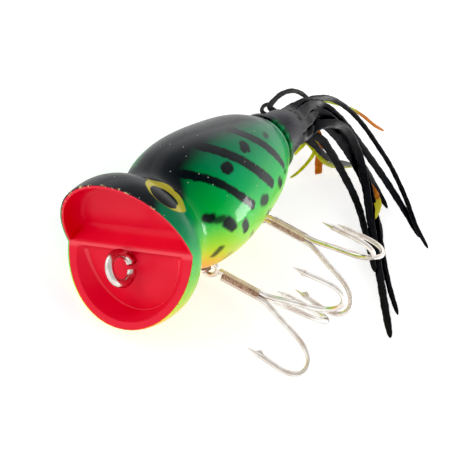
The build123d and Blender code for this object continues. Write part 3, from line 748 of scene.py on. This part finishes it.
def ribbon(name, mat, points, width, tip, twist, seed, tip_w=0.12, cut=0.0):
    """A flat soft strand.  points are lure points from the collar's wall to the tip, width
    is a list of (share of the length, mm), tip the length of the pointed end, tip_w the
    share of the width left at it, and cut the slant of the end."""
    line, arc = curve_points(points)
    rings = len(line)
    total = arc[-1]
    share = arc / total
    tangent = unit_rows(np.gradient(line, axis=0))
    normal = ribbon_normals(line, arc, tangent)
    side = np.cross(tangent, normal)
    angle = (twist * np.sin(share * 3.1 + seed) * smooth(2.0, 8.0, arc))[:, None]
    normal, side = (normal * np.cos(angle) + side * np.sin(angle),
                    side * np.cos(angle) - normal * np.sin(angle))

    half_w = np.interp(share, [at for at, _ in width], [size for _, size in width]) * 0.5
    half_w *= 1.0 + 0.045 * np.sin(arc * 1.7 + seed * 5) + 0.03 * np.sin(arc * 3.9 + seed * 11)
    end = np.clip((total - arc) / tip, 0, 1)
    half_w = half_w * (tip_w + (1 - tip_w) * np.sqrt(np.clip(end * (2 - end), 0, 1)))
    half_t = THICK * 0.5 * (0.55 + 0.45 * np.clip((total - arc) / (tip * 0.6), 0, 1))
    half_t *= 1.0 + 0.05 * np.sin(arc * 2.3 + seed * 3)
    half_t = np.minimum(half_t, half_w * 1.05 + 0.05)

    verts, run, part, faces = [], [], [], []
    for i in range(rings):
        for j in range(SIDES):
            around = 2 * math.pi * j / SIDES
            across = math.copysign(abs(math.cos(around)) ** 0.55, math.cos(around))
            out = math.copysign(abs(math.sin(around)) ** 0.72, math.sin(around))
            # shallow dish across the strand's face
            dish = 0.10 * half_t[i] * (across * across - 0.4)
            slant = cut * across * half_w[i] * smooth(total - 0.6, total, arc[i])
            verts.append(place(line[i] + side[i] * (half_w[i] * across)
                               + normal[i] * (half_t[i] * out + dish) + tangent[i] * slant))
            run.append((arc[i], across, seed * 7.0 + (1.0 if out > 0 else 0.0)))
            part.append((share[i], 0, 0))
    for i in range(rings - 1):
        for j in range(SIDES):
            k = (j + 1) % SIDES
            faces.append((i * SIDES + j, i * SIDES + k,
                          (i + 1) * SIDES + k, (i + 1) * SIDES + j))
    faces.append(tuple(reversed(range(SIDES))))
    faces.append(tuple(range((rings - 1) * SIDES, rings * SIDES)))
    return mesh_object(name, verts, faces, mat, run=run, part=part)


# centre lines, lure mm, from the collar to the tip
STRANDS = {
    "black_arch_strand": [
        (-58.87, 0.95, 3.69), (-64.27, 1.69, 3.52), (-69.40, 3.19, 2.30), (-72.91, 4.00, 0.34),
        (-76.64, 5.47, -3.52), (-79.45, 6.93, -8.13), (-81.27, 8.74, -13.36),
        (-82.34, 10.84, -18.62), (-81.72, 13.31, -23.90), (-80.58, 15.18, -27.62),
        (-78.45, 17.67, -32.38), (-77.45, 20.48, -37.38),
    ],
    "black_long_strand": [
        (-58.69, 2.94, 2.52), (-63.55, 2.75, 2.65), (-68.04, 2.75, 1.18), (-70.38, 4.08, -1.32),
        (-73.21, 5.29, -5.33), (-75.61, 6.34, -9.70), (-77.90, 7.46, -14.17),
        (-79.60, 9.03, -18.82), (-80.61, 11.02, -23.56), (-80.75, 12.78, -27.04),
        (-80.38, 15.31, -31.58), (-78.79, 18.05, -35.41),
    ],
    "black_right_strand": [
        (-58.39, 3.76, 0.62), (-61.93, 3.49, 0.66), (-65.24, 2.72, -0.00), (-67.81, 2.49, -1.18),
        (-70.02, 3.57, -4.06), (-71.88, 4.50, -7.40), (-73.45, 5.37, -10.85),
        (-74.88, 6.45, -14.32), (-76.53, 7.54, -17.83), (-77.51, 8.15, -20.68),
        (-78.33, 9.32, -24.57), (-78.08, 11.06, -28.10),
    ],
    "black_outer_strand": [
        (-58.47, 3.04, -2.52), (-62.30, 2.57, -1.57), (-66.09, 2.29, -1.93), (-68.11, 3.30, -3.81),
        (-70.25, 4.46, -7.11), (-71.98, 5.37, -10.73), (-73.23, 6.46, -14.60),
        (-73.61, 7.74, -18.61), (-72.88, 9.22, -22.51), (-71.94, 10.52, -25.25),
        (-70.11, 12.19, -28.49), (-67.56, 13.84, -30.88),
    ],
    "black_hook_strand": [
        (-59.11, 1.30, -3.64), (-64.38, 3.91, -2.18), (-69.24, 6.10, -4.01), (-71.70, 7.02, -7.43),
        (-72.89, 8.12, -13.29), (-71.04, 9.68, -19.38), (-67.26, 11.71, -24.28),
        (-62.95, 14.08, -28.47), (-58.30, 16.72, -32.03), (-54.64, 18.75, -34.55),
        (-49.71, 21.47, -37.90), (-44.82, 24.28, -41.32),
    ],
    "black_inner_strand": [
        (-58.51, -0.86, -3.77), (-62.22, 1.12, -3.72), (-64.86, 3.23, -5.57),
        (-66.19, 4.03, -8.30), (-67.64, 4.87, -12.01), (-68.43, 6.02, -16.00),
        (-68.50, 7.56, -20.00), (-67.04, 9.48, -23.61), (-64.30, 11.45, -26.29),
        (-62.02, 12.96, -28.00), (-58.98, 14.99, -30.28), (-55.89, 16.97, -32.52),
    ],
    "black_lower_strand": [
        (-59.03, 1.27, 1.91), (-64.87, 2.15, 1.33), (-68.74, 4.28, -1.99), (-70.89, 5.40, -5.70),
        (-73.22, 6.70, -11.15), (-73.62, 8.56, -17.02), (-71.37, 10.62, -22.44),
        (-67.72, 12.98, -26.74), (-63.48, 15.46, -30.34), (-60.18, 17.33, -32.90),
        (-55.93, 20.04, -36.41), (-52.03, 23.11, -40.15),
    ],
    "black_short_strand": [
        (-58.04, -2.43, -2.85), (-60.27, -1.74, -3.44), (-62.13, -0.24, -4.44),
        (-63.28, 0.92, -5.44), (-64.69, 1.72, -7.15), (-66.12, 1.94, -9.05),
        (-67.94, 1.98, -10.87), (-69.93, 2.09, -12.53), (-72.07, 2.25, -14.01),
        (-73.74, 2.41, -15.01), (-76.02, 2.65, -16.26), (-78.29, 2.89, -17.53),
    ],
    "chartreuse_near_strand": [
        (-57.94, 0.60, -1.84), (-60.12, 0.85, -2.00), (-62.32, 1.21, -2.33), (-63.80, 1.46, -2.83),
        (-65.34, 1.62, -4.00), (-66.19, 1.44, -5.86), (-66.47, 0.98, -7.97), (-66.08, 0.21, -9.92),
        (-65.13, -0.93, -11.51), (-64.08, -1.76, -12.41), (-62.42, -2.72, -13.27),
        (-60.60, -3.45, -13.59),
    ],
    "chartreuse_far_strand": [
        (-57.73, -1.25, -1.50), (-59.16, -1.11, -1.65), (-60.75, -0.73, -2.01),
        (-61.94, -0.36, -2.40), (-63.37, 0.11, -3.08), (-64.45, 0.41, -3.90),
        (-64.98, 0.42, -4.83), (-64.83, -0.01, -5.86), (-64.49, -0.95, -6.93),
        (-64.53, -1.78, -7.71), (-64.78, -2.90, -8.74), (-64.91, -3.97, -9.82),
    ],
    "chartreuse_under_strand": [
        (-58.18, -2.69, 0.65), (-60.86, -2.61, -0.26), (-63.07, -2.10, -2.20),
        (-64.50, -1.55, -4.13), (-66.20, -0.75, -7.04), (-67.69, 0.00, -9.94),
        (-69.22, 0.52, -12.47), (-71.39, 0.72, -14.52), (-74.01, 1.01, -16.10),
        (-76.09, 1.23, -17.06), (-78.92, 1.57, -18.16), (-81.77, 2.12, -19.16),
    ],
    "orange_near_strand": [
        (-57.94, 0.20, 0.23), (-60.12, 0.28, -0.03), (-62.31, 0.45, -0.67), (-63.88, 0.58, -1.39),
        (-65.77, 0.73, -2.65), (-67.35, 0.77, -4.23), (-68.49, 0.65, -6.08), (-69.17, 0.34, -8.15),
        (-69.59, -0.11, -10.30), (-69.82, -0.51, -11.90), (-69.60, -0.80, -13.99),
        (-68.70, -0.69, -15.93),
    ],
    "orange_tip_strand": [
        (-58.27, -1.03, 2.69), (-61.74, -1.05, 2.80), (-65.23, -0.93, 2.56), (-67.80, -0.73, 2.14),
        (-71.11, -0.24, 1.23), (-74.22, 0.55, -0.10), (-77.11, 1.57, -1.77), (-79.92, 2.64, -3.59),
        (-82.50, 3.84, -5.69), (-84.09, 4.88, -7.55), (-85.87, 6.32, -10.27),
        (-88.19, 7.62, -12.64),
    ],
    "orange_long_strand": [
        (-58.46, 1.99, 0.42), (-62.75, 1.70, 0.07), (-66.84, 1.19, -0.94), (-69.35, 1.40, -2.26),
        (-71.89, 2.39, -5.04), (-73.64, 3.52, -8.47), (-74.87, 4.58, -12.15),
        (-75.68, 5.75, -15.95), (-75.38, 7.76, -19.52), (-73.97, 9.77, -21.67),
        (-70.58, 12.39, -23.62), (-66.33, 13.52, -25.01),
    ],
    "black_loop_strand": [
        (-58.45, -3.10, 2.60), (-58.63, -4.46, 3.79), (-61.78, -4.83, 4.52), (-65.20, -4.65, 4.73),
        (-68.60, -4.04, 4.11), (-71.14, -3.22, 2.43), (-72.54, -2.60, 0.33), (-73.09, -2.18, -1.78),
    ],
    "black_curl_strand": [
        (-58.80, -3.60, 0.75), (-58.63, -5.63, 2.03), (-58.96, -6.85, 2.75), (-60.43, -7.25, 3.31),
        (-62.27, -7.01, 3.18), (-63.43, -6.45, 2.68),
    ],
}

# each strand's arguments for ribbon()
LOOKS = {
    "black_arch_strand": dict(
        mat=BLACK, tip=3.0, twist=0.25, seed=0.3,
        width=[(0, 2.7), (0.06, 2.3), (0.14, 1.45), (0.35, 1.15), (0.8, 1.15), (1, 0.9)]),
    "black_long_strand": dict(
        mat=BLACK, tip=3.6, twist=0.2, seed=1.1,
        width=[(0, 2.9), (0.07, 2.6), (0.16, 1.95), (0.4, 1.75), (0.8, 1.6), (1, 1.2)]),
    "black_right_strand": dict(
        mat=BLACK, tip=3.2, twist=0.25, seed=2.3,
        width=[(0, 2.9), (0.1, 2.5), (0.2, 1.9), (0.5, 1.6), (1, 1.2)]),
    "black_outer_strand": dict(
        mat=BLACK, tip=3.2, twist=0.2, seed=3.4,
        width=[(0, 3.0), (0.1, 2.7), (0.2, 2.1), (0.5, 1.9), (1, 1.3)]),
    "black_hook_strand": dict(
        mat=BLACK, tip=3.2, twist=0.15, seed=4.2,
        width=[(0, 3.0), (0.06, 2.6), (0.14, 2.1), (0.3, 2.0), (0.6, 1.8), (0.9, 1.7),
               (1, 1.4)]),
    "black_inner_strand": dict(
        mat=BLACK, tip=3.0, twist=0.2, seed=5.9,
        width=[(0, 2.7), (0.1, 2.4), (0.22, 1.9), (0.6, 1.7), (1, 1.2)]),
    "black_lower_strand": dict(
        mat=BLACK, tip=4.0, twist=0.2, seed=6.6,
        width=[(0, 2.8), (0.07, 2.5), (0.18, 1.8), (0.6, 1.6), (1, 1.1)]),
    "black_short_strand": dict(
        mat=BLACK, tip=1.8, tip_w=0.4, twist=0.2, seed=7.7,
        width=[(0, 2.5), (0.12, 2.0), (0.3, 1.5), (1, 1.2)]),
    "chartreuse_near_strand": dict(
        mat=CHARTREUSE, tip=2.0, twist=0.3, seed=8.1,
        width=[(0, 1.5), (0.25, 1.35), (0.6, 0.9), (1, 0.6)]),
    "chartreuse_far_strand": dict(
        mat=CHARTREUSE, tip=1.6, twist=0.2, seed=9.3, width=[(0, 1.5), (0.4, 1.2), (1, 0.7)]),
    "chartreuse_under_strand": dict(
        mat=CHARTREUSE, tip=2.0, twist=0.2, seed=10.4, width=[(0, 1.6), (0.4, 1.3), (1, 0.9)]),
    "orange_near_strand": dict(
        mat=ORANGE, tip=0.35, tip_w=0.85, twist=0.1, seed=11.2, cut=0.25,
        width=[(0, 1.7), (0.3, 1.8), (1, 1.75)]),
    "orange_tip_strand": dict(
        mat=ORANGE_TIP, tip=1.2, twist=0.25, seed=12.8,
        width=[(0, 1.2), (0.4, 0.9), (0.7, 0.75), (0.9, 0.8), (1, 0.6)]),
    "orange_long_strand": dict(
        mat=ORANGE_LONG, tip=3.4, twist=0.2, seed=13.5,
        width=[(0, 1.6), (0.5, 1.4), (0.76, 1.2), (0.83, 2.0), (0.90, 1.7), (1, 0.5)]),
    "black_loop_strand": dict(
        mat=BLACK, tip=1.4, tip_w=0.5, twist=0.3, seed=14.2,
        width=[(0, 2.3), (0.15, 1.7), (0.3, 1.2), (0.6, 1.1), (1, 1.0)]),
    "black_curl_strand": dict(
        mat=BLACK, tip=1.2, tip_w=0.4, twist=0.2, seed=15.6,
        width=[(0, 2.0), (0.3, 1.3), (0.5, 0.95), (1, 0.8)]),
}

# directions that add_strand tries for each strand; the one it picks is not used
BEND_WAYS = [np.array(way) / np.linalg.norm(way) for way in (
    (-1.0, 0, 0), (-0.85, 0.25, -0.45), (-0.75, 0.35, -0.60), (-0.6, 0.4, -0.7),
    (-0.8, -0.5, 0.3), (-0.7, -0.2, -0.7))]
WALL_RADIUS = 4.12      # black strands leave the collar's wall
BORE_RADIUS = 3.2       # the others leave from within its bore


def add_strand(name, points):
    radial = np.array(points[0][1:])
    radius = np.linalg.norm(radial)
    color = name.split("_")[0]
    root_radius = WALL_RADIUS if color == "black" else min(radius, BORE_RADIUS)
    roots = [np.array((x, *(radial / radius * (root_radius + spread))))
             for x, spread in ((-55.2, 0.0), (-56.8, 0.02))]
    full = roots + [np.array(point) for point in points]
    strand = ribbon(name + "_ribbon", points=full, **LOOKS[name])

    # the direction in which the whole strand stays beyond its root, and a reach along it, are found
    # here but not used
    line, arc = curve_points(full)
    root = line[np.searchsorted(arc, 1.7)]
    far = line[arc > 5.0] - root
    best = max(BEND_WAYS, key=lambda way: (far @ way).min())
    reach = float(np.clip((far @ best).min() * 0.9, 1.2, 3.1))
    tuple(place(root))
    tuple(place(root + best * reach))
    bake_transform(strand)
    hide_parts(name)
    color + "_rubber"


for strand_name, strand_points in STRANDS.items():
    if strand_name in nodes:
        add_strand(strand_name, strand_points)


# ---------------------------------------------------------------------------------
# Collar: soft tube stretched over the stub, cut into strips at its open end
# ---------------------------------------------------------------------------------
# (x, radius), going out along the outside and back along the bore
COLLAR_PROFILE = [
    (-47.92, 2.80), (-47.90, 3.60), (-47.90, 4.50), (-48.02, 4.86), (-48.35, 5.08),
    (-48.9, 5.17), (-49.6, 5.20), (-50.6, 5.23), (-51.8, 5.22), (-53.0, 5.15), (-54.2, 4.96),
    (-55.1, 4.76), (-55.8, 4.56), (-56.3, 4.36), (-56.55, 4.18), (-56.6, 4.02),
    (-56.56, 3.90), (-56.3, 3.84), (-55.9, 3.74), (-55.42, 3.58), (-55.40, 3.30),
    (-55.2, 3.26), (-54.4, 3.26), (-54.35, 2.80), (-51.0, 2.76),
]
COLLAR_SIDES = 96
CREASED = range(2, 18)      # profile points that carry the creases
STRIP_ENDS = range(13, 18)  # and those that shift along x where the strips part


def collar():
    verts, run, part, faces = [], [], [], []
    for i, (x, radius) in enumerate(COLLAR_PROFILE):
        open_end = float(smooth(-53.2, -56.6, x))
        for j in range(COLLAR_SIDES):
            angle = 2 * math.pi * j / COLLAR_SIDES
            parting = max(0.0, math.cos(12 * angle + 0.6))
            crease = 0.0
            ring_x = x
            if i in CREASED:
                # slow creases round the tube, and scallops where the strips part
                crease = 0.045 * math.sin(3 * angle + 0.35 * x)
                crease += 0.03 * math.sin(7 * angle - 0.5 * x + 1.0)
                crease += (0.05 * math.sin(1.9 * x + 0.8 * math.sin(2 * angle))
                           * (0.4 + 0.6 * open_end))
                crease -= 0.13 * open_end * parting ** 6
                if i < 4:
                    crease *= 0.4
            if i in STRIP_ENDS:
                ring_x = x + 0.35 * open_end * parting ** 3
            size = radius + crease
            verts.append(place((ring_x, size * math.sin(angle), size * math.cos(angle))))
            run.append((ring_x, angle * 4.4 / 2, 3.0))
            part.append((0, 0, 0))
    for i in range(len(COLLAR_PROFILE)):
        ring = i * COLLAR_SIDES
        next_ring = (i + 1) % len(COLLAR_PROFILE) * COLLAR_SIDES
        for j in range(COLLAR_SIDES):
            k = (j + 1) % COLLAR_SIDES
            faces.append((ring + j, next_ring + j, next_ring + k, ring + k))
    tube = mesh_object("skirt_collar_tube", verts, faces, COLLAR, run=run, part=part)
    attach(tube, "lure_body")
    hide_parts("skirt_collar")


collar()

# ---------------------------------------------------------------------------------
# Floor, light, background
# ---------------------------------------------------------------------------------
FLOOR_Z = CAD_BOX[0].z - 0.00002
FLOOR_HALF = 6.0


def add_table():
    """White table, lit from below."""
    material = bpy.data.materials.new("white_table")
    material.use_nodes = True
    inputs = material.node_tree.nodes["Principled BSDF"].inputs
    inputs["Base Color"].default_value = (0.90, 0.90, 0.905, 1)
    inputs["Roughness"].default_value = 0.42
    inputs["Specular IOR Level"].default_value = 0.15
    inputs["Emission Color"].default_value = grey(1.0)
    inputs["Emission Strength"].default_value = 0.40
    mesh = bpy.data.meshes.new("table")
    corners = [(x * FLOOR_HALF, y * FLOOR_HALF, FLOOR_Z)
               for x, y in ((-1, -1), (1, -1), (1, 1), (-1, 1))]
    mesh.from_pydata(corners, [], [(0, 1, 2, 3)])
    mesh.materials.append(material)
    table = bpy.data.objects.new("table", mesh)
    scene.collection.objects.link(table)


def add_world():
    """Shiny surfaces mirror a bright strip above the table, a darker ceiling, and a room
    that is dimmer still behind the camera; all else sees a soft room."""
    world = bpy.data.worlds.new("studio")
    scene.world = world
    world.use_nodes = True
    world.cycles.sampling_method = "NONE"
    tree = Tree(world.node_tree)
    direction = tree.node("ShaderNodeTexCoord", output="Generated")
    behind = direction.vector("DOT_PRODUCT", tuple(turn(VIEW_BACK)))
    dimming = behind.step(0.05, 0.75, to=(1.0, 0.62))
    height = direction.xyz()[2]
    mirrored = dimming * height.step(0.16, 0.48, to=(1.75, 1.0))
    glossy = tree.node("ShaderNodeLightPath", output="Is Glossy Ray")
    soft_room = height.step(0.05, 0.80, to=(0.80, 0.36))
    background = world.node_tree.nodes["Background"].inputs
    tree.put(background["Strength"], glossy.line(0.0, 1.0, to=(soft_room, mirrored)))
    tree.put(background["Color"], grey(1.0))


def softbox(name, direction, distance, width, height, radiance, glossy=False, diffuse=True):
    """Area light that faces LIGHT_TARGET from distance metres away."""
    light = bpy.data.lights.new(name, "AREA")
    light.shape = "RECTANGLE"
    light.size = width
    light.size_y = height
    light.energy = radiance * math.pi * light.size * light.size_y
    light.color = (1.0, 0.99, 0.975)
    box = bpy.data.objects.new(name, light)
    scene.collection.objects.link(box)
    toward = Vector(direction).normalized()
    box.location = LIGHT_TARGET + toward * distance
    box.rotation_euler = toward.to_track_quat("Z", "Y").to_euler()
    box.visible_glossy = glossy
    box.visible_diffuse = diffuse


LIGHT_TARGET = Vector((-0.027, 0.01, 0.0))
add_table()
add_world()
softbox("key_softbox", (-0.35, 0.62, 0.62), distance=0.60, width=0.45, height=0.45,
        radiance=1.1)
softbox("window", (-0.59, 0.78, 0.22), distance=0.55, width=0.20, height=0.18,
        radiance=16.0, glossy=True, diffuse=False)
softbox("front_fill", (0.66, -0.52, 0.52), distance=0.60, width=0.40, height=0.40,
        radiance=2.3)

view = scene.view_settings
view.view_transform = "Standard"
view.look = "None"
view.exposure = 0.0
view.gamma = 1.0
view.use_curve_mapping = True       # levels, as in a product shot on white
levels = view.curve_mapping
levels.black_level = (0.012, 0.012, 0.012)
levels.white_level = (0.87, 0.87, 0.87)
levels.update()
